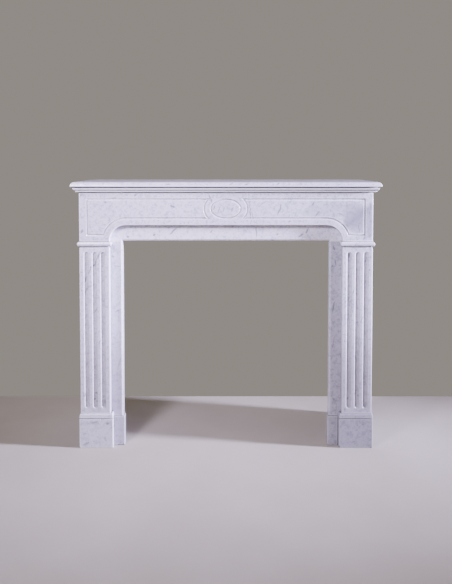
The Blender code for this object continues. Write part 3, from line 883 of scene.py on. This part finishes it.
SLIP_PLINTH_CHIPS = {
    -1: (((-0.449, SLIP_PLINTH_FACE_Y, 0.000), (0.0050, 0.0040, 0.0070), 12),
         ((-0.440, SLIP_PLINTH_FACE_Y, 0.000), (0.0060, 0.0050, 0.0045), 13),
         ((-0.429, SLIP_PLINTH_FACE_Y, 0.000), (0.0060, 0.0050, 0.0085), 14),
         ((-0.420, SLIP_PLINTH_FACE_Y, 0.000), (0.0050, 0.0050, 0.0050), 15)),
    1: (((0.424, SLIP_PLINTH_FACE_Y, 0.000), (0.0040, 0.0040, 0.0050), 16),
        ((0.448, SLIP_PLINTH_FACE_Y, 0.000), (0.0060, 0.0030, 0.0040), 17)),
}


def build_plinth(side, word):
    """Moulded block under the jamb's front and the slab under its return."""
    low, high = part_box("plinth_front_" + word)
    x_span = (low.x + PLINTH_PROJECTION, high.x - PLINTH_PROJECTION)
    shell = moulded_shell(x_span, FACE_Y, SLAB_BACK_Y, plinth_section(), (1, 1, 1), SOFT_ARRIS)
    look = PLINTH_MARBLES[side]
    settle("plinth_front_carved_" + word, shell, "plinth_front_" + word, look,
           PLINTH_CHIPS[side])
    faces = (1, 0, 0) if side < 0 else (0, 0, 1)
    x_span = tuple(sorted((side * RETURN_INNER_X, side * OUTER_X)))
    shell = moulded_shell(x_span, RETURN_FRONT_Y, WALL_Y, plinth_section(), faces, FINE_ARRIS)
    settle("plinth_return_carved_" + word, shell, "plinth_return_" + word, look)


def build_frieze_return(side, word):
    """Plain slab at the end of the frieze."""
    node = "frieze_return_" + word
    shell = eased(block(*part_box(node)), FINE_ARRIS)
    settle("frieze_end_" + word, shell, node, FRIEZE_MARBLE)


def chamfer_opening(builder, opening_x, opening_top, face_y):
    """Take the chamfer off the arrises of a slip where it faces the opening."""
    corners = []
    for grow in (SLIP_CHAMFER + OVERCUT, -OVERCUT):
        y = face_y + SLIP_CHAMFER - grow
        x = opening_x + grow
        z = opening_top + grow
        corners.append([(-x, y, -OVERCUT), (x, y, -OVERCUT), (x, y, z), (-x, y, z)])
    cutter = bmesh.new()
    near, deep = [ring_of(cutter, ring) for ring in corners]
    join_rings(cutter, near, deep)
    cutter.faces.new(near)
    cutter.faces.new(deep)
    bmesh.ops.recalc_face_normals(cutter, faces=cutter.faces)
    objects = []
    for name, source in (("slip_blank", builder), ("slip_cutter", cutter)):
        mesh = bpy.data.meshes.new(name)
        source.to_mesh(mesh)
        source.free()
        objects.append(bpy.data.objects.new(name, mesh))
        bpy.context.scene.collection.objects.link(objects[-1])
    blank, knife = objects
    cut = blank.modifiers.new("chamfer", "BOOLEAN")
    cut.operation = "DIFFERENCE"
    cut.solver = "EXACT"
    cut.object = knife
    apply_modifiers(blank)
    result = bmesh.new()
    result.from_mesh(blank.data)
    bpy.data.objects.remove(blank)
    bpy.data.objects.remove(knife)
    return result


def build_slips():
    """Lintel, uprights and small plinths set back around the opening."""
    low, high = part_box("slip_lintel")
    opening_top = low.z
    opening_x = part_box("slip_upright_right")[0].x
    shell = eased(chamfer_opening(block(low, high), opening_x, opening_top, low.y), FINE_ARRIS)
    settle("slip_lintel_dressed", shell, "slip_lintel", LINTEL_MARBLE)
    for side, word in ((-1, "left"), (1, "right")):
        node = "slip_upright_" + word
        shell = eased(chamfer_opening(block(*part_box(node)), opening_x, opening_top, low.y), FINE_ARRIS)
        settle("slip_upright_dressed_" + word, shell, node, SLIP_MARBLES[side])
        node = "slip_plinth_" + word
        shell = eased(block(*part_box(node)), 2 * FINE_ARRIS)
        settle("slip_plinth_dressed_" + word, shell, node, SLIP_PLINTH_MARBLES[side],
               SLIP_PLINTH_CHIPS[side])


build_shelf()
build_frieze()
for side, word in ((-1, "left"), (1, "right")):
    build_frieze_return(side, word)
    build_jamb(side, word)
    build_plinth(side, word)
build_slips()


# Floor, light and camera

FLOOR_HALF_WIDTH = 5.0
FLOOR_NEAR_Y = -6.0
FLOOR_FAR_Y = 0.42
FLOOR_DARK = (0.430, 0.392, 0.312, 1)
FLOOR_PALE = (0.490, 0.448, 0.366, 1)
FLOOR_ROUGHNESS = 0.75
BACKDROP = (0.300, 0.272, 0.245, 1)


def build_floor():
    """Pale floor with a faint cast-concrete mottling, up to where the photograph's wall begins."""
    builder = bmesh.new()
    corners = ((-FLOOR_HALF_WIDTH, FLOOR_NEAR_Y, 0), (FLOOR_HALF_WIDTH, FLOOR_NEAR_Y, 0),
               (FLOOR_HALF_WIDTH, FLOOR_FAR_Y, 0), (-FLOOR_HALF_WIDTH, FLOOR_FAR_Y, 0))
    builder.faces.new(ring_of(builder, corners))
    mesh = bpy.data.meshes.new("floor")
    builder.to_mesh(mesh)
    builder.free()
    floor = bpy.data.objects.new("floor", mesh)
    bpy.context.scene.collection.objects.link(floor)
    shader = Shader("pale_floor")
    place = shader.node("TexCoord").outputs["Object"]
    tone = shader.ramp(shader.noise(place, 1.6, 5.0, 0.6), 0.3, 0.7)
    colour = shader.blend(tone, FLOOR_DARK, FLOOR_PALE)
    shader.feed(shader.surface, "Base Color", colour)
    shader.surface.inputs["Roughness"].default_value = FLOOR_ROUGHNESS
    mesh.materials.append(shader.material)


def area_light(name, place, target, size, power, colour, spread):
    """Soft rectangular light aimed at a point. power is in watts and spread in degrees."""
    data = bpy.data.lights.new(name, "AREA")
    data.shape = "RECTANGLE"
    data.size, data.size_y = size
    data.energy = power
    data.color = colour
    data.spread = math.radians(spread)
    light = bpy.data.objects.new(name, data)
    light.location = place
    light.rotation_euler = (Vector(target) - Vector(place)).to_track_quat("-Z", "Y").to_euler()
    bpy.context.scene.collection.objects.link(light)


def build_lights():
    """Soft room light from the front left, cool window light along the wall from the right."""
    area_light("room_front", place=(-1.0, -1.7, 1.92), target=(-0.2, FACE_Y, 0.98), size=(0.42, 0.34),
               power=20.2, colour=(0.77, 0.70, 1.0), spread=88)
    area_light("window_right", place=(5.0, -0.78, 1.65), target=(0.0, FACE_Y, 0.80), size=(0.40, 0.60),
               power=105, colour=(0.66, 0.62, 1.0), spread=34)
    world = bpy.data.worlds.new("pale_room")
    world.use_nodes = True
    backdrop = world.node_tree.nodes["Background"]
    backdrop.inputs["Color"].default_value = BACKDROP
    backdrop.inputs["Strength"].default_value = 1.0
    bpy.context.scene.world = world


# Camera. Rows and lengths in pixels are those of the photograph's frame, 452 by 584
IMAGE_LONG_SIDE = 584
SENSOR = 36.0
FOCAL_PIXELS = 637.0
CAMERA_DISTANCE = 2.6
CAMERA_HEIGHT = 1.1794
PITCH_DOWN = math.radians(2.2)
AXIS_ROW = 187.5
MIDDLE_ROW = 292.0


def build_camera():
    """Camera at the photograph's place: a little above the shelf, looking slightly down."""
    data = bpy.data.cameras.new("camera")
    data.sensor_width = SENSOR
    data.lens = SENSOR * FOCAL_PIXELS / IMAGE_LONG_SIDE
    data.shift_y = (AXIS_ROW - MIDDLE_ROW) / IMAGE_LONG_SIDE
    camera = bpy.data.objects.new("camera", data)
    camera.location = (0, FACE_Y - CAMERA_DISTANCE, CAMERA_HEIGHT)
    camera.rotation_euler = (math.pi / 2 - PITCH_DOWN, 0, 0)
    bpy.context.scene.collection.objects.link(camera)
    bpy.context.scene.camera = camera


build_floor()
build_lights()
build_camera()
